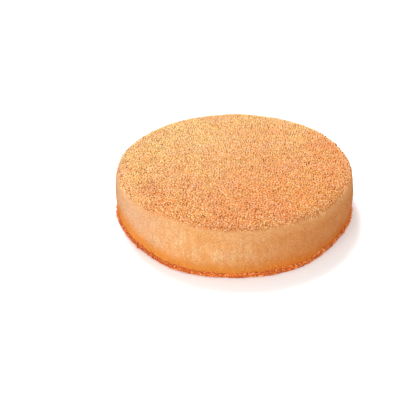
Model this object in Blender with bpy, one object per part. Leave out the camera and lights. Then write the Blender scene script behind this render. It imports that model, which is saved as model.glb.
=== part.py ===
"""Round biscuit cake, uncut and coated all over in biscuit crumbs.

The cake stands on z = 0 with its axis on +Z, and the whole of it is one solid. Its coat
has a flat crumbly top, a pressed round shoulder, a wall that bulges and leans out a
little, and a low, uneven skirt of crumbs round the foot. The coarsest crumbs are fused
to the coat.
"""

import math
import random

import bmesh
import bpy
from mathutils import Euler, Matrix, Vector, noise

# Driving dimensions of the cake, in metres.
WALL_RADIUS = 0.1258
HEIGHT = 0.0523
SHOULDER_RADIUS = 0.0125
WALL_LEAN = 0.0024
WALL_BULGE = 0.0010
SKIRT_WIDTH = 0.0022
SKIRT_HEIGHT = 0.0042
FOOT_UNDERCUT = 0.0006

# How the foot runs in and out round the cake, as waves of (depth, waves in a whole turn,
# place of a rising zero).
FOOT_WAVES = (
    (0.0013, 3, math.radians(1)),
    (0.0010, 7, math.radians(-25)),
)

# How finely the turned coat is divided.
TURNS = 96
TOP_RINGS = 10
SHOULDER_RINGS = 6
WALL_RINGS = 3
SKIRT_RINGS = 3
MERGE_DISTANCE = 0.00001

# Unevenness of the coat: how deep each kind of relief is, and how wide its bumps are.
TOP_SWELL = (0.0005, 0.050)
TOP_DIMPLES = (0.0003, 0.020)
WALL_DENTS = (0.0006, 0.030)
SKIRT_RAGGED = (0.0010, 0.014)
NOISE_GAIN = 1.6

# Coarse crumbs: how many lie on the top and round the skirt, and how large they are.
TOP_CRUMBS = 116
SKIRT_CRUMBS = 64
CRUMB_LENGTHS = (0.0020, 0.0031)
CRUMB_WIDTH_SHARE = 0.82
CRUMB_DEPTH_SHARE = 0.66
CRUMB_CORNERS = (0.82, 1.12)
CRUMB_STANDS_OUT = 0.20
CRUMB_SEED = 7

# Where they lie: how far down the shoulder, how high on the skirt, and how evenly.
SHOULDER_SHARE_BARE = 0.3
SKIRT_HEIGHT_SHARES = (0.45, 0.80)
SKIRT_PLACE_SHARES = (0.2, 0.8)
SPREAD_TRIES = 14

CRUMB_COLOUR = (0.80, 0.45, 0.21, 1.0)
CRUMB_ROUGHNESS = 0.92
SMOOTH_BELOW = math.radians(40)


def clear_scene():
    for found in list(bpy.data.objects):
        bpy.data.objects.remove(found)


def crumb_coat_material():
    material = bpy.data.materials.new("crumb_coat")
    material.use_nodes = True
    shader = material.node_tree.nodes["Principled BSDF"]
    shader.inputs["Base Color"].default_value = CRUMB_COLOUR
    shader.inputs["Roughness"].default_value = CRUMB_ROUGHNESS
    shader.inputs["Metallic"].default_value = 0.0
    return material


def coat_profile():
    """(radius, height) from the middle of the top, outwards and down to the underside."""
    flat_radius = WALL_RADIUS - SHOULDER_RADIUS
    foot_radius = WALL_RADIUS + WALL_LEAN
    points = [(flat_radius * i / TOP_RINGS, HEIGHT) for i in range(TOP_RINGS)]
    for i in range(SHOULDER_RINGS):
        turn = math.pi / 2 * i / SHOULDER_RINGS
        points.append((
            flat_radius + SHOULDER_RADIUS * math.sin(turn),
            HEIGHT - SHOULDER_RADIUS * (1 - math.cos(turn)),
        ))
    wall_height = HEIGHT - SHOULDER_RADIUS - SKIRT_HEIGHT
    for i in range(WALL_RINGS):
        share = i / WALL_RINGS
        points.append((
            WALL_RADIUS + WALL_LEAN * share + WALL_BULGE * math.sin(math.pi * share),
            HEIGHT - SHOULDER_RADIUS - wall_height * share,
        ))
    # The skirt is a low heap: it runs out from the wall in an S and drops at its edge.
    for i in range(SKIRT_RINGS + 1):
        share = i / SKIRT_RINGS
        spread = 0.5 - 0.5 * math.cos(math.pi * share)
        points.append((
            foot_radius + SKIRT_WIDTH * spread,
            FOOT_UNDERCUT + (SKIRT_HEIGHT - FOOT_UNDERCUT) * (1 - share),
        ))
    points.append((foot_radius + SKIRT_WIDTH - FOOT_UNDERCUT, 0.0))
    return points


def bumps(place, size):
    """Smooth noise between about -1 and 1 whose bumps are this wide."""
    return noise.noise(place / size) * NOISE_GAIN


def foot_swell(place):
    """How much further than its mean the wall reaches here. It fades out up the wall."""
    low_down = max(0.0, 1 - place.z / (HEIGHT - SHOULDER_RADIUS))
    turn = math.atan2(place.y, place.x)
    return low_down * sum(depth * math.sin(count * (turn - start)) for depth, count, start in FOOT_WAVES)


def relief(place, outward):
    """How far the coat stands out of its even shape here, along its outward direction."""
    up = max(0.0, outward.z)
    in_skirt = max(0.0, 1 - place.z / (2 * SKIRT_HEIGHT))
    swell = TOP_SWELL[0] * bumps(place, TOP_SWELL[1]) * up
    dimples = TOP_DIMPLES[0] * bumps(place, TOP_DIMPLES[1]) * up
    dents = WALL_DENTS[0] * bumps(place, WALL_DENTS[1]) * (1 - up)
    ragged = SKIRT_RAGGED[0] * bumps(place, SKIRT_RAGGED[1]) * in_skirt
    return swell + dimples + dents + ragged


def turned_coat():
    """A closed mesh of the profile spun about +Z, with its relief and a flat underside."""
    mesh = bmesh.new()
    profile = [mesh.verts.new((radius, 0, height)) for radius, height in coat_profile()]
    edges = [mesh.edges.new(pair) for pair in zip(profile, profile[1:])]
    bmesh.ops.spin(
        mesh,
        geom=profile + edges,
        cent=(0, 0, 0),
        axis=(0, 0, 1),
        angle=2 * math.pi,
        steps=TURNS,
        use_merge=True,
    )
    bmesh.ops.remove_doubles(mesh, verts=mesh.verts, dist=MERGE_DISTANCE)
    open_edges = [edge for edge in mesh.edges if edge.is_boundary]
    bmesh.ops.holes_fill(mesh, edges=open_edges)
    bmesh.ops.recalc_face_normals(mesh, faces=mesh.faces)
    for vert in mesh.verts:
        radius = vert.co.xy.length
        if radius > WALL_RADIUS / 2:
            vert.co.xy *= 1 + foot_swell(vert.co) / radius
    mesh.normal_update()
    shifts = [
        (vert, vert.normal * relief(vert.co, vert.normal))
        for vert in mesh.verts
        if vert.co.z > 0
    ]
    for vert, shift in shifts:
        vert.co += shift
    return mesh


def new_object(name, mesh, material, collection):
    data = bpy.data.meshes.new(name)
    mesh.to_mesh(data)
    mesh.free()
    data.materials.append(material)
    made = bpy.data.objects.new(name, data)
    collection.objects.link(made)
    return made


def spread_over_top(rng):
    """Places over the top and the upper shoulder, each well clear of those before it."""
    reach = WALL_RADIUS - SHOULDER_RADIUS * SHOULDER_SHARE_BARE
    places = [Vector((0, 0))]
    while len(places) < TOP_CRUMBS:
        tries = []
        for _ in range(SPREAD_TRIES):
            radius = reach * math.sqrt(rng.random())
            turn = rng.uniform(0, 2 * math.pi)
            tries.append(Vector((radius * math.cos(turn), radius * math.sin(turn))))
        places.append(max(
            tries,
            key=lambda spot: min((spot - other).length for other in places),
        ))
    return places


def crumb_places(cake, rng):
    """(place, outward) for each coarse crumb: over the top, then round the skirt."""
    places = []
    for spot in spread_over_top(rng):
        _, hit, outward, _ = cake.ray_cast((spot.x, spot.y, 2 * HEIGHT), (0, 0, -1))
        places.append((hit, outward))
    for i in range(SKIRT_CRUMBS):
        turn = 2 * math.pi * (i + rng.uniform(*SKIRT_PLACE_SHARES)) / SKIRT_CRUMBS
        out = Vector((math.cos(turn), math.sin(turn), 0))
        height = Vector((0, 0, SKIRT_HEIGHT * rng.uniform(*SKIRT_HEIGHT_SHARES)))
        _, hit, outward, _ = cake.ray_cast(out * 2 * WALL_RADIUS + height, -out)
        places.append((hit, outward))
    return places


def crumb_mesh(length, rng):
    """One crumb: a squashed ball of 20 faces with its corners pushed in and out."""
    mesh = bmesh.new()
    bmesh.ops.create_icosphere(mesh, subdivisions=1, radius=0.5)
    for vert in mesh.verts:
        vert.co *= rng.uniform(*CRUMB_CORNERS)
    squash = Matrix.Diagonal((length, length * CRUMB_WIDTH_SHARE, length * CRUMB_DEPTH_SHARE, 1))
    turn = Euler([rng.uniform(0, 2 * math.pi) for _ in range(3)]).to_matrix().to_4x4()
    mesh.transform(turn @ squash)
    return mesh


def fuse_crumbs(cake, material):
    rng = random.Random(CRUMB_SEED)
    crumbs = bpy.data.collections.new("coarse_crumbs")
    bpy.context.scene.collection.children.link(crumbs)
    for hit, outward in crumb_places(cake, rng):
        length = rng.uniform(*CRUMB_LENGTHS)
        crumb = new_object("crumb", crumb_mesh(length, rng), material, crumbs)
        crumb.location = hit + outward * length * CRUMB_STANDS_OUT
    union = cake.modifiers.new("fuse_crumbs", "BOOLEAN")
    union.operation = "UNION"
    union.operand_type = "COLLECTION"
    union.collection = crumbs
    union.solver = "EXACT"
    bpy.context.view_layer.objects.active = cake
    bpy.ops.object.modifier_apply(modifier=union.name)
    for crumb in list(crumbs.objects):
        bpy.data.objects.remove(crumb)
    bpy.data.collections.remove(crumbs)


def centre_on_axis(cake):
    """Slides the uneven cake sideways until it reaches as far to each side of the axis."""
    xs = [vert.co.x for vert in cake.data.vertices]
    ys = [vert.co.y for vert in cake.data.vertices]
    offset = Vector((-(min(xs) + max(xs)) / 2, -(min(ys) + max(ys)) / 2, 0))
    cake.data.transform(Matrix.Translation(offset))


def main():
    clear_scene()
    material = crumb_coat_material()
    cake = new_object("cake", turned_coat(), material, bpy.context.scene.collection)
    bpy.context.view_layer.update()
    fuse_crumbs(cake, material)
    centre_on_axis(cake)
    cake.data.shade_smooth()
    cake.data.set_sharp_from_angle(angle=SMOOTH_BELOW)


main()
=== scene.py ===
"""Looks of a whole round biscuit cake: its coat of crumbs, and its floor, light and camera.

A closed core has the low relief of pressed crumbs, and loose crumbs of several bakes
cover its top, its wall and the skirt round its foot. Everything is in metres, in the
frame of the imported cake, whose axis is +Z and whose underside lies on z = 0.
"""

import math

import bmesh
import bpy
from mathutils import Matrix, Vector, noise


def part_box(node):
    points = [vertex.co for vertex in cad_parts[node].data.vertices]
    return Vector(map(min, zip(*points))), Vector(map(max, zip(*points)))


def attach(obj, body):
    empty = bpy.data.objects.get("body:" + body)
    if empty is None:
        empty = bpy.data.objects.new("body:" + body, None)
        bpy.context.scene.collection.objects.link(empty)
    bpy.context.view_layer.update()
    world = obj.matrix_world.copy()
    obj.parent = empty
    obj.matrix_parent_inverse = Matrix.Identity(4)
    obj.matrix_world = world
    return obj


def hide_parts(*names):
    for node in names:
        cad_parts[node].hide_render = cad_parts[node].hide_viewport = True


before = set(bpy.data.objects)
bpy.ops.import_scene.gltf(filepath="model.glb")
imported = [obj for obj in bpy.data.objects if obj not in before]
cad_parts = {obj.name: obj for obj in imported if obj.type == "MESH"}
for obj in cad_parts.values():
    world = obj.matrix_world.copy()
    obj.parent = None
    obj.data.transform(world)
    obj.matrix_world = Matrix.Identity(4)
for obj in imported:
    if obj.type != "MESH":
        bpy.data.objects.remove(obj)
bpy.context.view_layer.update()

LOWEST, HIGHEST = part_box("cake")

# The even shape of the coat, under its loose crumbs.
REACH = min(HIGHEST.x - LOWEST.x, HIGHEST.y - LOWEST.y) / 2
CRUMBS_PROUD = 0.0026
HEIGHT = HIGHEST.z - CRUMBS_PROUD
SHOULDER_RADIUS = 0.0125
SKIRT_WIDTH = 0.0020
SKIRT_HEIGHT = 0.0040
FOOT_PROUD = 0.0006
WALL_LEAN = 0.0024
WALL_BULGE = 0.0010
WALL_RADIUS = REACH - FOOT_PROUD - SKIRT_WIDTH - WALL_LEAN
FOOT_UNDERCUT = 0.0006

# How the foot runs in and out round the cake, as waves of (depth, waves in a whole turn,
# place of a rising zero).
FOOT_WAVES = (
    (0.0013, 3, math.radians(1)),
    (0.0010, 7, math.radians(-25)),
)

# How finely the core is divided.
CORE_TURNS = 360
SHOULDER_STEPS = 24
WALL_STEPS = 12
SKIRT_STEPS = 8
CORE_GRAIN = 0.00106
MERGE_DISTANCE = 0.00001

# Where the coarse crumbs of the top give way to the pressed crumbs of the wall: how far
# down the shoulder, as a share of its radius, over how much height, and how that border
# rises and falls round the cake, as waves of (height, waves in a whole turn, place of a
# rising zero).
BORDER_DROP = 0.40
COARSE_ABOVE = HEIGHT - BORDER_DROP * SHOULDER_RADIUS
COARSE_FADE = 0.0065
COARSE_SPAN = (COARSE_ABOVE - COARSE_FADE / 2, COARSE_ABOVE + COARSE_FADE / 2)
BORDER_WAVES = (
    (0.0005, 8, math.radians(-81.5)),
    (0.0007, 3, math.radians(-34.0)),
)

# Unevenness of the coat: how deep each kind of relief is, and how wide its bumps are.
TOP_SWELL = (0.0005, 0.050)
TOP_DIMPLES = (0.0003, 0.020)
WALL_DENTS = (0.0006, 0.030)
COARSE_GRAINS = (0.00025, 0.0016)
PRESSED_BUMPS = (0.00018, 0.007)
PRESSED_GRAINS = (0.00010, 0.0026)
PRESSED_STREAKS = (0.00014, 0.004)
SKIRT_RAGGED = (0.0006, 0.014)
SKIRT_GRAINS = (0.00040, 0.0022)
BORDER_RAGGED = (0.0015, 0.006)

# How strongly the noise swings, how steeply a grain falls away from its middle, and how
# many times as long as wide a streak is.
NOISE_GAIN = 1.6
GRAIN_FALL = 2.2
STREAK_STRETCH = 7

# The heights between which the relief of the skirt gives way to that of the wall.
SKIRT_RELIEF_SPAN = (0.7 * SKIRT_HEIGHT, 1.4 * SKIRT_HEIGHT)


def smooth_step(low, high, value):
    share = min(1.0, max(0.0, (value - low) / (high - low)))
    return share * share * (3 - 2 * share)


def bumps(place, depth, width):
    """Smooth bumps about this deep, in and out, and this wide."""
    return depth * (noise.noise(place / width) * NOISE_GAIN)


def grains(place, depth, width):
    """Rounded lumps about this deep, in and out, packed side by side and this wide."""
    nearest = noise.voronoi(place / width)[0][0]
    return depth * (1 - GRAIN_FALL * nearest)


def streaks(place, depth, width):
    """Smooth bumps that change round the wall but hardly up it."""
    turn = math.atan2(place.y, place.x)
    across = Vector((math.cos(turn), math.sin(turn), 0)) * (WALL_RADIUS / width)
    along = Vector((0, 0, place.z / (STREAK_STRETCH * width)))
    return depth * (noise.noise(across + along) * NOISE_GAIN)


def waves_round(place, waves):
    """The sum of these waves round the cake, here."""
    turn = math.atan2(place.y, place.x)
    return sum(swing * math.sin(count * (turn - start)) for swing, count, start in waves)


def foot_swell(place):
    """How much further than its mean the wall reaches here. It fades out up the wall."""
    low_down = max(0.0, 1 - place.z / (HEIGHT - SHOULDER_RADIUS))
    return low_down * waves_round(place, FOOT_WAVES)


def coat_profile():
    """(radius, height) from the middle of the top outwards and down to the underside."""
    flat_radius = WALL_RADIUS - SHOULDER_RADIUS
    foot_radius = WALL_RADIUS + WALL_LEAN
    points = [(0.0, HEIGHT)]
    for i in range(SHOULDER_STEPS + 1):
        turn = math.pi / 2 * i / SHOULDER_STEPS
        points.append((
            flat_radius + SHOULDER_RADIUS * math.sin(turn),
            HEIGHT - SHOULDER_RADIUS * (1 - math.cos(turn)),
        ))
    wall_height = HEIGHT - SHOULDER_RADIUS - SKIRT_HEIGHT
    for i in range(1, WALL_STEPS):
        share = i / WALL_STEPS
        points.append((
            WALL_RADIUS + WALL_LEAN * share + WALL_BULGE * math.sin(math.pi * share),
            HEIGHT - SHOULDER_RADIUS - wall_height * share,
        ))
    # The skirt is a low heap: it runs out from the wall in an S and drops at its edge.
    for i in range(SKIRT_STEPS + 1):
        share = i / SKIRT_STEPS
        spread = 0.5 - 0.5 * math.cos(math.pi * share)
        points.append((
            foot_radius + SKIRT_WIDTH * spread,
            FOOT_UNDERCUT + (SKIRT_HEIGHT - FOOT_UNDERCUT) * (1 - share),
        ))
    points.append((foot_radius + SKIRT_WIDTH - FOOT_UNDERCUT, 0.0))
    return points


def new_object(name, mesh_data):
    made = bpy.data.objects.new(name, mesh_data)
    bpy.context.scene.collection.objects.link(made)
    return made


def baked(source, name):
    """A plain mesh of the object as its modifiers leave it. The object itself goes."""
    graph = bpy.context.evaluated_depsgraph_get()
    mesh_data = bpy.data.meshes.new_from_object(source.evaluated_get(graph))
    mesh_data.name = name
    bpy.data.objects.remove(source)
    return new_object(name, mesh_data)


def even_coat():
    """The coat's profile spun about +Z, divided into even quads by a voxel remesh."""
    mesh = bmesh.new()
    profile = [mesh.verts.new((radius, 0, height)) for radius, height in coat_profile()]
    edges = [mesh.edges.new(pair) for pair in zip(profile, profile[1:])]
    bmesh.ops.spin(
        mesh,
        geom=profile + edges,
        cent=(0, 0, 0),
        axis=(0, 0, 1),
        angle=2 * math.pi,
        steps=CORE_TURNS,
        use_merge=True,
    )
    bmesh.ops.remove_doubles(mesh, verts=mesh.verts, dist=MERGE_DISTANCE)
    bmesh.ops.holes_fill(mesh, edges=[edge for edge in mesh.edges if edge.is_boundary])
    bmesh.ops.recalc_face_normals(mesh, faces=mesh.faces)
    mesh_data = bpy.data.meshes.new("even_coat")
    mesh.to_mesh(mesh_data)
    mesh.free()
    coat = new_object("even_coat", mesh_data)
    remesh = coat.modifiers.new("even_quads", "REMESH")
    remesh.mode = "VOXEL"
    remesh.voxel_size = CORE_GRAIN
    remesh.use_smooth_shade = True
    return baked(coat, "cake_coat")


def close_underside(mesh):
    """Swaps the many quads of the flat underside for one face that lies on z = 0."""
    low = [face for face in mesh.faces if all(vert.co.z < CORE_GRAIN / 2 for vert in face.verts)]
    bmesh.ops.delete(mesh, geom=low, context="FACES")
    rim = [edge for edge in mesh.edges if edge.is_boundary]
    for vert in {vert for edge in rim for vert in edge.verts}:
        vert.co.z = 0.0
    for vert in mesh.verts:
        vert.co.z = max(vert.co.z, 0.0)
    bmesh.ops.holes_fill(mesh, edges=rim)
    bmesh.ops.recalc_face_normals(mesh, faces=mesh.faces)


def relief(place, outward):
    """How far the coat stands out of its even shape here, along its outward direction."""
    up = max(0.0, outward.z)
    above_border = place.z - waves_round(place, BORDER_WAVES)
    coarse = smooth_step(*COARSE_SPAN, above_border + bumps(place, *BORDER_RAGGED))
    in_skirt = 1 - smooth_step(*SKIRT_RELIEF_SPAN, place.z)
    pressed = (1 - coarse) * (1 - in_skirt)
    return (
        bumps(place, *TOP_SWELL) * up
        + bumps(place, *TOP_DIMPLES) * up
        + bumps(place, *WALL_DENTS) * (1 - up)
        + grains(place, *COARSE_GRAINS) * coarse
        + bumps(place, *PRESSED_BUMPS) * pressed
        + grains(place, *PRESSED_GRAINS) * pressed
        + streaks(place, *PRESSED_STREAKS) * pressed
        + (bumps(place, *SKIRT_RAGGED) + grains(place, *SKIRT_GRAINS)) * in_skirt
    )


def make_core():
    core = even_coat()
    mesh = bmesh.new()
    mesh.from_mesh(core.data)
    close_underside(mesh)
    for vert in mesh.verts:
        radius = vert.co.xy.length
        if radius > WALL_RADIUS / 2:
            vert.co.xy *= 1 + foot_swell(vert.co) / radius
    mesh.normal_update()
    shifts = [
        (vert, vert.normal * relief(vert.co, vert.normal))
        for vert in mesh.verts
        if vert.co.z > 0
    ]
    for vert, shift in shifts:
        vert.co += shift
        vert.co.z = max(vert.co.z, FOOT_UNDERCUT / 2)
    mesh.to_mesh(core.data)
    mesh.free()
    core.data.shade_smooth()
    return core


class Value:
    """What a node gives out. Arithmetic on it adds Math nodes to its tree."""

    def __init__(self, nodes, socket):
        self.nodes = nodes
        self.socket = socket

    def __add__(self, other):
        return self.nodes.maths("ADD", self, other)

    def __sub__(self, other):
        return self.nodes.maths("SUBTRACT", self, other)

    def __rsub__(self, other):
        return self.nodes.maths("SUBTRACT", other, self)

    def __mul__(self, other):
        return self.nodes.maths("MULTIPLY", self, other)

    def __truediv__(self, other):
        return self.nodes.maths("DIVIDE", self, other)

    __radd__ = __add__
    __rmul__ = __mul__


def find_socket(sockets, name):
    """The socket of this name that the node's settings have left in use."""
    return next(socket for socket in sockets if socket.name == name and socket.enabled)


class Nodes:
    """Adds nodes to one tree, of a material or of a piece's geometry."""

    def __init__(self, tree):
        self.tree = tree

    def node(self, kind, settings=None, sockets=None):
        made = self.tree.nodes.new(kind)
        for name, setting in (settings or {}).items():
            setattr(made, name, setting)
        for name, value in (sockets or {}).items():
            self.feed(find_socket(made.inputs, name), value)
        return made

    def feed(self, socket, value):
        if isinstance(value, Value):
            self.tree.links.new(value.socket, socket)
        else:
            socket.default_value = value

    def value(self, kind, output, settings=None, sockets=None):
        made = self.node(kind, settings, sockets)
        return Value(self, find_socket(made.outputs, output))

    def maths(self, operation, *values):
        made = self.node("ShaderNodeMath", {"operation": operation})
        for socket, value in zip(made.inputs, values):
            self.feed(socket, value)
        return Value(self, made.outputs["Value"])

    def vectors(self, operation, output, *values):
        made = self.node("ShaderNodeVectorMath", {"operation": operation})
        used = [socket for socket in made.inputs if socket.enabled]
        for socket, value in zip(used, values):
            self.feed(socket, value)
        return Value(self, find_socket(made.outputs, output))

    def vector(self, x, y, z):
        return self.value("ShaderNodeCombineXYZ", "Vector", None, {"X": x, "Y": y, "Z": z})

    def parts(self, vector):
        made = self.node("ShaderNodeSeparateXYZ", None, {"Vector": vector})
        return [Value(self, made.outputs[axis]) for axis in "XYZ"]

    def above_border(self, place, height):
        """This height less the rise of the coarse crumbs' border at this place."""
        x, y, _ = self.parts(place)
        turn = self.maths("ARCTAN2", y, x)
        for rise, count, start in BORDER_WAVES:
            height = height - self.maths("SINE", (turn - start) * count) * rise
        return height

    def within(self, value, limit):
        """The value, kept between the limit and its opposite."""
        return self.maths("MAXIMUM", self.maths("MINIMUM", value, limit), 0.0 - limit)

    def smooth_step(self, low, high, value):
        return self.value(
            "ShaderNodeMapRange",
            "Result",
            {"interpolation_type": "SMOOTHSTEP"},
            {"Value": value, "From Min": low, "From Max": high},
        )

    def mix(self, share, first, second, blend="MIX"):
        return self.value(
            "ShaderNodeMix",
            "Result",
            {"data_type": "RGBA", "blend_type": blend},
            {"Factor": share, "A": first, "B": second},
        )

    def bumps(self, place, size, detail=1.0):
        """Smooth noise from 0 to 1 whose bumps are this wide."""
        return self.value(
            "ShaderNodeTexNoise",
            "Fac",
            None,
            {"Vector": place, "Scale": 1 / size, "Detail": detail},
        )

    def wander(self, place, size, height):
        """Smooth noise around zero that swings over this height in bumps this wide."""
        return (self.bumps(place, size) - 0.5) * height

    def patches(self, place, size, detail, low, high):
        """1 in patches about this wide and 0 between them, with soft edges."""
        return self.smooth_step(low, high, self.bumps(place, size, detail))

    def grains(self, place, size):
        """Distance to the nearest grain's middle, for grains this wide."""
        return self.value(
            "ShaderNodeTexVoronoi",
            "Distance",
            None,
            {"Vector": place, "Scale": 1 / size},
        )


# Colours of the coat, in linear light.
CREAM = (1.0, 0.94, 0.85, 1.0)
PALE_GOLD = (1.0, 0.89, 0.55, 1.0)
HONEY = (1.0, 0.82, 0.40, 1.0)
GOLDEN = (1.0, 0.73, 0.32, 1.0)
AMBER = (0.90, 0.42, 0.11, 1.0)
# Colours of the dark specks: partly toasted and burnt crumbs, partly painted shade of holes between
# crumbs.
TOASTED_AND_SHADE = (0.50, 0.155, 0.025, 1.0)
BURNT_AND_SHADE = (0.47, 0.130, 0.015, 1.0)
DARK = (0.20, 0.043, 0.003, 1.0)
# Coat between the crumbs of the top: partly a toasted coat, partly painted shade in the gaps.
BETWEEN_CRUMBS = (0.45, 0.145, 0.014, 1.0)
WALL_PALE = (0.61, 0.360, 0.170, 1.0)
WALL_BEIGE = (0.53, 0.305, 0.166, 1.0)
WALL_GOLDEN = (0.59, 0.295, 0.108, 1.0)
# Brown of the wall's streaks, and of the painted shadow of a lifted slice to its right.
WALL_BROWN_AND_SLICE_SHADOW = (0.52, 0.193, 0.051, 1.0)
# Low on the wall: gold partly painted reflection of a gold board; browner right partly painted slice
# shadow.
WALL_LOW_GOLD_AND_REFLECTION = (0.56, 0.203, 0.032, 1.0)
WALL_LOW_BROWN_AND_SHADOW = (0.58, 0.170, 0.020, 1.0)
SKIRT_DARK = (0.37, 0.078, 0.014, 1.0)
SKIRT_RED_BROWN = (0.60, 0.125, 0.028, 1.0)
SKIRT_GOLDEN = (0.94, 0.31, 0.068, 1.0)
SKIRT_PALE = (1.0, 0.48, 0.165, 1.0)

# The crumbs of the wall as factors of the colour of the coat around them.
WALL_PALER = (1.06, 1.11, 1.18, 1.0)
WALL_DARKER = (0.87, 0.79, 0.71, 1.0)

# The crumbs of the top where they thin out over the shoulder.
BORDER_CRUMBS = (0.84, 0.53, 0.27, 1.0)

# How these colours are shifted, as factors: from patch to patch of the top; paler far left
# and darker near right, partly painted light and shade and partly a browner bake; darker
# over the shoulder, partly painted shade and partly browner crumbs; darker along the left
# rim and at the left end of the wall, painted shade; and darker along the front left of
# the skirt.
PINKISH_CAST = (1.0, 0.93, 0.94, 1.0)
YELLOW_CAST = (1.0, 1.00, 0.92, 1.0)
FAR_LIT_AND_PALER = (1.0, 1.10, 1.12, 1.0)
NEAR_SHADED_AND_BAKED = (1.0, 0.84, 0.73, 1.0)
SHOULDER_SHADE_AND_BAKE = (1.0, 0.95, 0.91, 1.0)
LEFT_RIM_SHADE = (0.86, 0.74, 0.73, 1.0)
WALL_LEFT_END_SHADE = (0.87, 0.87, 0.84, 1.0)
SKIRT_FRONT_LEFT_DARKER = (0.80, 0.68, 0.78, 1.0)
NO_CAST = (1.0, 1.0, 1.0, 1.0)

# Patches of colour: how wide they are, how many finer layers of noise they have, and the
# levels of the noise between which a patch's edge fades. Streaks are patches drawn down
# the wall, whose heights are squeezed to this share for them.
TOP_PATCHES = (0.022, 2.0, 0.35, 0.65)
WALL_BLOTCHES = (0.013, 3.0, 0.36, 0.64)
WALL_STREAKS = (0.0032, 2.0, 0.38, 0.62)
CRUMB_TONES = (0.0011, 1.0, 0.35, 0.65)
STREAK_SQUEEZE = 0.18

# Wandering edges: how wide their swings are, and how far they swing in all.
SHADE_AND_BAKE_WANDER = (0.05, 1.2)
COARSE_EDGE_WANDER = (0.006, 0.003)
LOW_EDGE_WANDER = (0.012, 0.008)
SKIRT_EDGE_WANDER = (0.004, 0.005)

# The top goes from lit and paler far left to shaded and browner near right, painted light
# and shade with a browner bake, by these shares of x and of -y, over this span of their
# sum, counted in the cake's reach.
SHADE_AND_BAKE_ALONG_X = 0.65
SHADE_AND_BAKE_ALONG_Y = 0.75
SHADE_AND_BAKE_SPAN = (-0.9, 0.9)

# Where the other tints of the top begin and end, and how strong the last of them is.
SHOULDER_SPAN = (HEIGHT - 0.010, HEIGHT - 0.001)
LEFT_RIM_SPAN = (-0.124, -0.108)
BORDER_STRENGTH = 0.7

# Where the front of the cake gives way to its back.
FRONT_SPAN = (-0.045, 0.065)

# Where the tints of the wall begin and end, across the cake or up the wall, and how
# strong they are.
STREAK_STRENGTH = 0.32
# Painted shadow of a lifted slice, partly a browner bake, darkens the wall to the right.
SLICE_SHADOW_BROWN_SPAN = (-0.03, 0.07)
SLICE_SHADOW_BROWN_STRENGTH = 0.8
GILDED_HEIGHTS = (COARSE_ABOVE - 0.010, COARSE_ABOVE - 0.002)
GILDED_SPAN = (-0.10, -0.02)
GILDED_STRENGTH = 0.6
BEIGE_FROM = (-0.1275, -0.1215)
BEIGE_TO = (-0.100, -0.040)
BEIGE_STRENGTH = 0.85
LEFT_END_SPAN = (-0.128, -0.106)

# The deep golden band low on the wall, partly painted reflection of a gold board under the
# cake, and browner to the right, partly painted shadow of a lifted slice: its upper edge, how
# that edge sinks to the right and rises at the front left, where its colour changes, and
# how strong it is at the back.
LOW_HEIGHTS = (0.005, 0.023)
LOW_TILT = 0.012
LOW_LEFT_SPAN = (-0.125, -0.055)
LOW_LEFT_RISE = 0.0085
LOW_SLICE_SHADOW_SPAN = (0.0, 0.05)
LOW_AT_BACK = 0.7

# The skirt: its upper edge, and where it is darker along the left.
SKIRT_EDGE_SPAN = (0.8 * SKIRT_HEIGHT, 1.3 * SKIRT_HEIGHT)
SKIRT_LEFT_SPAN = (-0.09, -0.02)


def tint(nodes, colour, share, cast, other_cast=NO_CAST):
    """The colour times the cast where the share is 1, and times the other where it is 0."""
    return nodes.mix(1.0, colour, nodes.mix(share, other_cast, cast), "MULTIPLY")


def top_colour(nodes, place, biscuit):
    """The crumbs of the top: paler far back, darker near, over the shoulder and along the left rim;
    painted light and shade, partly a browner bake.
    """
    x, y, z = nodes.parts(place)
    nearer = (x * SHADE_AND_BAKE_ALONG_X - y * SHADE_AND_BAKE_ALONG_Y) / REACH + nodes.wander(place, *SHADE_AND_BAKE_WANDER)
    shaded_and_baked_side = nodes.smooth_step(*SHADE_AND_BAKE_SPAN, nearer)
    over_edge = 1 - nodes.smooth_step(*SHOULDER_SPAN, z)
    left_rim = 1 - nodes.smooth_step(*LEFT_RIM_SPAN, x)
    at_border = 1 - nodes.smooth_step(*COARSE_SPAN, nodes.above_border(place, z))
    colour = tint(nodes, biscuit, nodes.patches(place, *TOP_PATCHES), YELLOW_CAST, PINKISH_CAST)
    # Painted light far back and painted shade near, partly a browner bake.
    colour = tint(nodes, colour, shaded_and_baked_side, NEAR_SHADED_AND_BAKED, FAR_LIT_AND_PALER)
    # Painted shade over the shoulder, partly browner crumbs.
    colour = tint(nodes, colour, over_edge, SHOULDER_SHADE_AND_BAKE)
    # Painted shade along the left rim.
    colour = tint(nodes, colour, left_rim, LEFT_RIM_SHADE)
    return nodes.mix(at_border * BORDER_STRENGTH, colour, BORDER_CRUMBS)


def front_side(nodes, y):
    """1 at the front of the cake and 0 at its back."""
    return 1 - nodes.smooth_step(*FRONT_SPAN, y)


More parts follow.
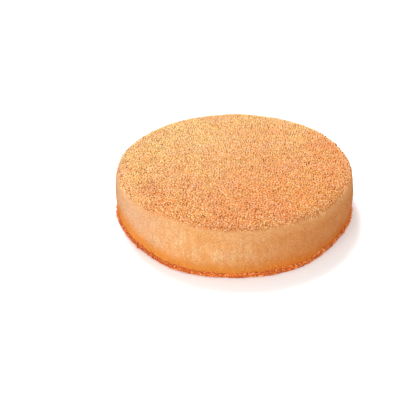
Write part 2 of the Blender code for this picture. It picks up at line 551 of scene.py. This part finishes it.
def upper_wall_colour(nodes, place, wavy_height, front):
    """Pale blotches and brown streaks on gold, beige at the front left, and darker to the right,
    partly painted shadow of a lifted slice and partly a browner bake.
    """
    x, y, z = nodes.parts(place)
    drawn_down = nodes.vector(x, y, z * STREAK_SQUEEZE)
    blotches = nodes.patches(place, *WALL_BLOTCHES)
    streaks = nodes.patches(drawn_down, *WALL_STREAKS)
    shadowed_browner = nodes.smooth_step(*SLICE_SHADOW_BROWN_SPAN, x)
    near_border = nodes.smooth_step(*GILDED_HEIGHTS, nodes.above_border(place, wavy_height))
    gilded = near_border * nodes.smooth_step(*GILDED_SPAN, x)
    beige = nodes.smooth_step(*BEIGE_FROM, x) * (1 - nodes.smooth_step(*BEIGE_TO, x)) * front
    colour = nodes.mix(blotches, WALL_GOLDEN, WALL_PALE)
    colour = nodes.mix(streaks * STREAK_STRENGTH, colour, WALL_BROWN_AND_SLICE_SHADOW)
    # Painted shadow of a lifted slice, partly a browner bake, to the right.
    colour = nodes.mix(shadowed_browner * SLICE_SHADOW_BROWN_STRENGTH, colour, WALL_BROWN_AND_SLICE_SHADOW)
    colour = nodes.mix(gilded * GILDED_STRENGTH, colour, WALL_GOLDEN)
    return nodes.mix(beige * BEIGE_STRENGTH, colour, WALL_BEIGE)


def wall_colour(nodes, place, tone):
    """The pressed coat: blotched and streaked above; low down deep golden, partly painted reflection
    of a gold board, and browner right, partly painted slice shadow; painted shade at its left end.
    """
    x, y, z = nodes.parts(place)
    front = front_side(nodes, y)
    wavy_height = z + nodes.wander(place, *LOW_EDGE_WANDER) + x * LOW_TILT
    left_rise = (1 - nodes.smooth_step(*LOW_LEFT_SPAN, x)) * front * LOW_LEFT_RISE
    low_strength = LOW_AT_BACK + front * (1 - LOW_AT_BACK)
    low_down = (1 - nodes.smooth_step(*LOW_HEIGHTS, wavy_height - left_rise)) * low_strength
    left_end = (1 - nodes.smooth_step(*LEFT_END_SPAN, x)) * front
    upper = upper_wall_colour(nodes, place, wavy_height, front)
    # Low band: partly painted reflection of a gold board; browner right, partly painted slice shadow.
    low = nodes.mix(nodes.smooth_step(*LOW_SLICE_SHADOW_SPAN, x), WALL_LOW_GOLD_AND_REFLECTION, WALL_LOW_BROWN_AND_SHADOW)
    colour = nodes.mix(1.0, nodes.mix(low_down, upper, low), tone, "MULTIPLY")
    # Painted shade at the left end of the wall.
    return tint(nodes, colour, left_end, WALL_LEFT_END_SHADE)


def skirt_colour(nodes, place, biscuit):
    """The crumbs round the foot: darker along the front left."""
    x, y, _ = nodes.parts(place)
    front_left = (1 - nodes.smooth_step(*SKIRT_LEFT_SPAN, x)) * front_side(nodes, y)
    return tint(nodes, biscuit, front_left, SKIRT_FRONT_LEFT_DARKER)


# How the surfaces take light.
SPECULAR_LEVEL = 0.12
COAT_ROUGHNESS = 0.85
CRUMB_ROUGHNESS = 0.80
FLOOR_ROUGHNESS = 0.90

# Fine grain of the coat and pores of a crumb: how wide, with how many finer layers of
# noise, and how deep. The coat goes from its darker to its paler tone between these
# levels of its grain, and gaps between its grains deepen it.
COAT_GRAIN = (0.0014, 3.0)
COAT_GRAIN_LEVELS = (0.35, 0.65)
COAT_GRAIN_DEPTH = 0.0003
GRAIN_GAP_WIDTH = 0.0011
GRAIN_GAP_SHARE = 0.6
CRUMB_PORES = (0.0004, 2.0)
CRUMB_PORE_DEPTH = 0.00015


def start_material(name, roughness):
    material = bpy.data.materials.new(name)
    material.use_nodes = True
    shader = material.node_tree.nodes["Principled BSDF"]
    shader.inputs["Roughness"].default_value = roughness
    shader.inputs["Specular IOR Level"].default_value = SPECULAR_LEVEL
    return material, shader, Nodes(material.node_tree)


def object_place(nodes):
    return nodes.value("ShaderNodeTexCoord", "Object")


def rough_surface(nodes, shader, heights, depth):
    bump = nodes.value(
        "ShaderNodeBump",
        "Normal",
        None,
        {"Height": heights, "Distance": depth, "Strength": 1.0},
    )
    nodes.feed(shader.inputs["Normal"], bump)


def coat_material():
    material, shader, nodes = start_material("pressed_crumb_coat", COAT_ROUGHNESS)
    place = object_place(nodes)
    height = nodes.parts(place)[2]
    wavy_height = height + nodes.wander(place, *COARSE_EDGE_WANDER)
    coarse = nodes.smooth_step(*COARSE_SPAN, nodes.above_border(place, wavy_height))
    fine_grain = nodes.bumps(place, *COAT_GRAIN)
    lit_grain = nodes.smooth_step(*COAT_GRAIN_LEVELS, fine_grain)
    wall = wall_colour(nodes, place, nodes.mix(lit_grain, WALL_DARKER, WALL_PALER))
    skirt = skirt_colour(nodes, place, nodes.mix(lit_grain, SKIRT_DARK, SKIRT_RED_BROWN))
    ragged_height = height + nodes.wander(place, *SKIRT_EDGE_WANDER)
    in_skirt = 1 - nodes.smooth_step(*SKIRT_EDGE_SPAN, ragged_height)
    side = nodes.mix(in_skirt, wall, skirt)
    # The coat under the top's crumbs is dark: partly painted shade in the gaps between them.
    colour = nodes.mix(coarse, side, top_colour(nodes, place, BETWEEN_CRUMBS))
    nodes.feed(shader.inputs["Base Color"], colour)
    gaps = nodes.grains(place, GRAIN_GAP_WIDTH) * GRAIN_GAP_SHARE
    rough_surface(nodes, shader, fine_grain - gaps, COAT_GRAIN_DEPTH)
    return material


def crumb_material(name, zone_colour, paler, darker):
    """Biscuit whose tone changes from crumb to crumb between these two colours."""
    material, shader, nodes = start_material(name, CRUMB_ROUGHNESS)
    place = object_place(nodes)
    tone = nodes.patches(place, *CRUMB_TONES)
    colour = zone_colour(nodes, place, nodes.mix(tone, darker, paler))
    nodes.feed(shader.inputs["Base Color"], colour)
    rough_surface(nodes, shader, nodes.bumps(place, *CRUMB_PORES), CRUMB_PORE_DEPTH)
    return material


# One crumb: a ball of a few faces and about 1 across, its corners pushed in and out by
# these factors, and its three sides as shares of the crumb's size.
CRUMB_SHAPES = 8
CRUMB_SEGMENTS = 4
CRUMB_RINGS = 2
BALL_RADIUS = 0.5
CRUMB_CORNERS = (0.62, 1.15)
CRUMB_SIDES = ((0.70, 0.62, 0.55), (1.0, 0.95, 0.90))
WHOLE_TURN = (math.tau, math.tau, math.tau)

# A crumb's middle lies this far outside the coat before it is sunk, and its furthest
# corner this far from its middle, as shares of its size.
CRUMB_STANDS_OUT = 0.45
CRUMB_REACH = 0.58

# Towards the bottom of their zone crumbs are smaller, down to this share of their size,
# and the edges of a zone are ragged in swings this wide.
THINNED_SIZE = 0.55
RAGGED_WIDTH = 0.006

# What is added to a zone's seed, so that each kind of draw is its own.
SIZE_DRAW = 1
SIDES_DRAW = 2
TURN_DRAW = 3
KIND_DRAW = 4
SUNK_DRAW = 5


def random_value(nodes, kind, low, high, seed):
    return nodes.value(
        "FunctionNodeRandomValue",
        "Value",
        {"data_type": kind},
        {"Min": low, "Max": high, "Seed": seed},
    )


def crumb_shapes(nodes):
    """Angular bits of a few faces and about 1 across, each with its own corners."""
    shapes = []
    place = nodes.value("GeometryNodeInputPosition", "Position")
    for i in range(CRUMB_SHAPES):
        ball = nodes.value(
            "GeometryNodeMeshUVSphere",
            "Mesh",
            None,
            {"Segments": CRUMB_SEGMENTS, "Rings": CRUMB_RINGS, "Radius": BALL_RADIUS},
        )
        push = random_value(nodes, "FLOAT", *CRUMB_CORNERS, i)
        angular = nodes.value(
            "GeometryNodeSetPosition",
            "Geometry",
            None,
            {"Geometry": ball, "Position": nodes.vectors("SCALE", "Vector", place, push)},
        )
        shape = nodes.value("GeometryNodeGeometryToInstance", "Instances", None, {"Geometry": angular})
        shapes.append(shape)
    joined = nodes.node("GeometryNodeJoinGeometry")
    for shape in reversed(shapes):
        nodes.feed(joined.inputs["Geometry"], shape)
    return Value(nodes, joined.outputs["Geometry"])


CRUMB_INPUTS = {
    "Coat": "NodeSocketGeometry",
    "Crumbs per square metre": "NodeSocketFloat",
    "Spacing": "NodeSocketFloat",
    "First share": "NodeSocketFloat",
    "Last share": "NodeSocketFloat",
    "Smallest": "NodeSocketFloat",
    "Largest": "NodeSocketFloat",
    "Least sunk": "NodeSocketFloat",
    "Most sunk": "NodeSocketFloat",
    "Zone bottom": "NodeSocketFloat",
    "Zone top": "NodeSocketFloat",
    "Zone fade": "NodeSocketFloat",
    "Bottom follows border": "NodeSocketFloat",
    "Top follows border": "NodeSocketFloat",
    "Seed": "NodeSocketInt",
    "Biscuit": "NodeSocketMaterial",
}


def above_edge(nodes, height, edge, fade):
    """0 well below this edge of a zone and 1 well above it."""
    return nodes.smooth_step(edge - fade * 0.5, edge + fade * 0.5, height)


def strewn_points(nodes, given, density):
    """Points on the coat, none closer than the spacing, and the outward direction there."""
    strewn = nodes.node(
        "GeometryNodeDistributePointsOnFaces",
        {"distribute_method": "POISSON"},
        {
            "Mesh": given["Coat"],
            "Distance Min": given["Spacing"],
            "Density Max": given["Crumbs per square metre"],
            "Density Factor": density,
            "Seed": given["Seed"],
        },
    )
    return Value(nodes, strewn.outputs["Points"]), Value(nodes, strewn.outputs["Normal"])


def points_of_kind(nodes, given, points):
    """The points whose draw falls between this kind's first and last share."""
    kind = random_value(nodes, "FLOAT", 0.0, 1.0, given["Seed"] + KIND_DRAW)
    before = nodes.maths("LESS_THAN", kind, given["First share"])
    after = 1 - nodes.maths("LESS_THAN", kind, given["Last share"])
    return nodes.value(
        "GeometryNodeDeleteGeometry",
        "Geometry",
        None,
        {"Geometry": points, "Selection": before + after},
    )


def inside_box(nodes, middle, reach):
    """The middle of a crumb, moved so that the crumb stays in the box of the solid."""
    x, y, z = nodes.parts(middle)
    kept_z = nodes.maths("MAXIMUM", nodes.maths("MINIMUM", z, HIGHEST.z - reach), reach)
    return nodes.vector(nodes.within(x, REACH - reach), nodes.within(y, REACH - reach), kept_z)


def crumb_tree():
    """Geometry nodes that strew crumbs over a zone of heights of the coat."""
    tree = bpy.data.node_groups.new("strewn_crumbs", "GeometryNodeTree")
    for name, kind in CRUMB_INPUTS.items():
        tree.interface.new_socket(name, in_out="INPUT", socket_type=kind)
    tree.interface.new_socket("Crumbs", in_out="OUTPUT", socket_type="NodeSocketGeometry")
    nodes = Nodes(tree)
    group = nodes.node("NodeGroupInput")
    given = {name: Value(nodes, group.outputs[name]) for name in CRUMB_INPUTS}

    place = nodes.value("GeometryNodeInputPosition", "Position")
    height = nodes.parts(place)[2] + nodes.wander(place, RAGGED_WIDTH, given["Zone fade"])
    drop = nodes.above_border(place, height) - height
    from_bottom = height + drop * given["Bottom follows border"]
    from_top = height + drop * given["Top follows border"]
    above = above_edge(nodes, from_bottom, given["Zone bottom"], given["Zone fade"])
    below = 1 - above_edge(nodes, from_top, given["Zone top"], given["Zone fade"])
    all_points, outward = strewn_points(nodes, given, above * below)
    points = points_of_kind(nodes, given, all_points)

    seed = given["Seed"]
    drawn = random_value(nodes, "FLOAT", 0.0, 1.0, seed + SIZE_DRAW)
    sunk = random_value(nodes, "FLOAT", given["Least sunk"], given["Most sunk"], seed + SUNK_DRAW)
    whole_size = given["Smallest"] + (given["Largest"] - given["Smallest"]) * drawn * drawn
    size = whole_size * (THINNED_SIZE + (1 - THINNED_SIZE) * above)
    lift = nodes.vectors("SCALE", "Vector", outward, size * (CRUMB_STANDS_OUT - sunk))
    middle = nodes.vectors("ADD", "Vector", place, lift)
    moved = nodes.value(
        "GeometryNodeSetPosition",
        "Geometry",
        None,
        {"Geometry": points, "Position": inside_box(nodes, middle, whole_size * CRUMB_REACH)},
    )
    sides = random_value(nodes, "FLOAT_VECTOR", *CRUMB_SIDES, seed + SIDES_DRAW)
    turns = random_value(nodes, "FLOAT_VECTOR", (0, 0, 0), WHOLE_TURN, seed + TURN_DRAW)
    crumbs = nodes.value(
        "GeometryNodeInstanceOnPoints",
        "Instances",
        None,
        {
            "Points": moved,
            "Instance": crumb_shapes(nodes),
            "Pick Instance": True,
            "Rotation": turns,
            "Scale": nodes.vectors("SCALE", "Vector", sides, size),
        },
    )
    solid = nodes.value("GeometryNodeRealizeInstances", "Geometry", None, {"Geometry": crumbs})
    finished = nodes.value(
        "GeometryNodeSetMaterial",
        "Geometry",
        None,
        {"Geometry": solid, "Material": given["Biscuit"]},
    )
    out = nodes.node("NodeGroupOutput")
    nodes.feed(out.inputs["Crumbs"], finished)
    return tree


def strew(core, tree, name, **values):
    """One kind of crumb over the core, as a plain mesh."""
    host = new_object(name + "_host", core.data.copy())
    scatter = host.modifiers.new("strewn_crumbs", "NODES")
    scatter.node_group = tree
    identifiers = {item.name: item.identifier for item in tree.interface.items_tree}
    for label, value in values.items():
        scatter[identifiers[label.replace("_", " ")]] = value
    return baked(host, name)


def dress(piece):
    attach(piece, "root")


# The zones of crumbs: where each lies on the coat, how close its crumbs are, and how deep
# each sits, as a share of its size. Values with "follows" are 1 where that edge of the
# zone runs along the border of the coarse crumbs and 0 where it is level.
ABOVE_ALL = 1.0
ALL_OVER_TOP = dict(
    Zone_bottom=COARSE_ABOVE,
    Zone_top=ABOVE_ALL,
    Zone_fade=COARSE_FADE,
    Bottom_follows_border=1.0,
    Top_follows_border=0.0,
)
ZONES = {
    "top": dict(
        ALL_OVER_TOP,
        Crumbs_per_square_metre=4000000.0,
        Spacing=0.00072,
        Least_sunk=-0.15,
        Most_sunk=0.40,
        Seed=11,
    ),
    "specks": dict(
        ALL_OVER_TOP,
        Crumbs_per_square_metre=2000000.0,
        Spacing=0.0026,
        Least_sunk=-0.20,
        Most_sunk=0.10,
        Seed=41,
    ),
    "wall": dict(
        Crumbs_per_square_metre=3000000.0,
        Spacing=0.00098,
        Zone_bottom=SKIRT_HEIGHT * 1.7,
        Zone_top=COARSE_ABOVE + COARSE_FADE,
        Zone_fade=COARSE_FADE,
        Bottom_follows_border=0.0,
        Top_follows_border=1.0,
        Least_sunk=0.22,
        Most_sunk=0.38,
        Seed=21,
    ),
    "skirt": dict(
        Crumbs_per_square_metre=4000000.0,
        Spacing=0.00145,
        Zone_bottom=0.0,
        Zone_top=SKIRT_HEIGHT * 1.2,
        Zone_fade=0.0034,
        Bottom_follows_border=0.0,
        Top_follows_border=0.0,
        Least_sunk=0.0,
        Most_sunk=0.25,
        Seed=31,
    ),
}

ZONE_COLOURS = {
    "top": top_colour,
    "specks": top_colour,
    "wall": wall_colour,
    "skirt": skirt_colour,
}

# Each kind of crumb: its zone, its share of the zone's crumbs, its paler and darker
# colour, and its shortest and longest crumb.
CRUMB_KINDS = {
    "crumbs_golden": ("top", 0.34, PALE_GOLD, HONEY, 0.0009, 0.0015),
    "crumbs_honey": ("top", 0.34, PALE_GOLD, HONEY, 0.0009, 0.0014),
    "crumbs_cream": ("top", 0.22, CREAM, PALE_GOLD, 0.0009, 0.0015),
    "crumbs_amber": ("top", 0.10, GOLDEN, AMBER, 0.0009, 0.0015),
    # Dark specks: partly toasted and burnt crumbs, partly painted shade of holes between crumbs.
    "crumbs_toasted_and_shade": ("specks", 0.38, AMBER, TOASTED_AND_SHADE, 0.0016, 0.0026),
    "crumbs_dark": ("specks", 0.62, BURNT_AND_SHADE, DARK, 0.0016, 0.0025),
    "wall_crumbs_pale": ("wall", 0.52, WALL_PALER, NO_CAST, 0.0007, 0.0014),
    "wall_crumbs_amber": ("wall", 0.48, NO_CAST, WALL_DARKER, 0.0007, 0.0013),
    "skirt_crumbs_pale": ("skirt", 0.50, SKIRT_PALE, SKIRT_GOLDEN, 0.0017, 0.0029),
    "skirt_crumbs_brown": ("skirt", 0.50, SKIRT_GOLDEN, SKIRT_RED_BROWN, 0.0017, 0.0029),
}


def make_cake():
    core = make_core()
    core.data.materials.clear()
    core.data.materials.append(coat_material())
    dress(core)
    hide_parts("cake")
    tree = crumb_tree()
    given_out = dict.fromkeys(ZONES, 0.0)
    for name, (zone, share, paler, darker, shortest, longest) in CRUMB_KINDS.items():
        first = given_out[zone]
        given_out[zone] += share
        crumbs = strew(
            core,
            tree,
            name,
            First_share=first,
            Last_share=given_out[zone],
            Smallest=shortest,
            Largest=longest,
            Biscuit=crumb_material(name, ZONE_COLOURS[zone], paler, darker),
            **ZONES[zone],
        )
        dress(crumbs)


# The camera, as fitted to the picture: how steeply it looks down, its distance and lens,
# and how many pixels to the right of the picture's middle, and above it, the middle of
# the cake's foot stands.
CAMERA_ELEVATION = math.radians(33.37)
CAMERA_DISTANCE = 0.5284
CAMERA_LENS = 42.0
SENSOR_WIDTH = 36.0
PICTURE_WIDTH = 400
CAKE_RIGHT_OF_MIDDLE = 34.37
CAKE_ABOVE_MIDDLE = 1.5
NEAREST_SEEN = 0.01


def make_camera():
    data = bpy.data.cameras.new("camera")
    data.lens = CAMERA_LENS
    data.sensor_width = SENSOR_WIDTH
    data.shift_x = -CAKE_RIGHT_OF_MIDDLE / PICTURE_WIDTH
    data.shift_y = -CAKE_ABOVE_MIDDLE / PICTURE_WIDTH
    data.clip_start = NEAREST_SEEN
    camera = new_object("camera", data)
    camera.location = (
        0,
        -CAMERA_DISTANCE * math.cos(CAMERA_ELEVATION),
        CAMERA_DISTANCE * math.sin(CAMERA_ELEVATION),
    )
    camera.rotation_euler = (math.pi / 2 - CAMERA_ELEVATION, 0, 0)
    bpy.context.scene.camera = camera


# The floor: its colours near the cake and far out, the distances between which one gives
# way to the other, how far it reaches, and how far it lies below the cake.
PALE_FLOOR = (0.92, 0.92, 0.92, 1.0)
WHITE = (1.0, 1.0, 1.0, 1.0)
FLOOR_SPAN = (0.3, 1.5)
FLOOR_REACH = 6.0
FLOOR_GAP = 0.0002


def make_floor():
    mesh = bmesh.new()
    bmesh.ops.create_grid(mesh, x_segments=1, y_segments=1, size=FLOOR_REACH)
    mesh_data = bpy.data.meshes.new("floor")
    mesh.to_mesh(mesh_data)
    mesh.free()
    floor = new_object("floor", mesh_data)
    floor.location.z = -FLOOR_GAP
    material, shader, nodes = start_material("pale_floor", FLOOR_ROUGHNESS)
    distance = nodes.vectors("LENGTH", "Value", object_place(nodes))
    far_out = nodes.smooth_step(*FLOOR_SPAN, distance)
    nodes.feed(shader.inputs["Base Color"], nodes.mix(far_out, PALE_FLOOR, WHITE))
    mesh_data.materials.append(material)


# The soft lights: where each hangs, how wide it is, and its watts. The world's white
# light fills in from all round.
BACK_WINDOW = ((-0.20, 0.60, 1.05), 0.45, 18.0)
FRONT_WINDOW = ((-0.45, -0.60, 0.20), 0.35, 2.65)
FILL_STRENGTH = 1.0


def soft_light(name, place, width, watts):
    """A round soft light aimed at the cake."""
    data = bpy.data.lights.new(name, "AREA")
    data.shape = "DISK"
    data.size = width
    data.energy = watts
    light = new_object(name, data)
    light.location = place
    aim = Vector((0, 0, 0)) - light.location
    light.rotation_euler = aim.to_track_quat("-Z", "Y").to_euler()


def make_lights():
    world = bpy.data.worlds.new("studio")
    world.use_nodes = True
    background = world.node_tree.nodes["Background"]
    background.inputs["Color"].default_value = WHITE
    background.inputs["Strength"].default_value = FILL_STRENGTH
    bpy.context.scene.world = world
    soft_light("back_window", *BACK_WINDOW)
    soft_light("front_window", *FRONT_WINDOW)


bpy.context.scene.view_settings.view_transform = "Standard"
make_cake()
make_floor()
make_lights()
make_camera()
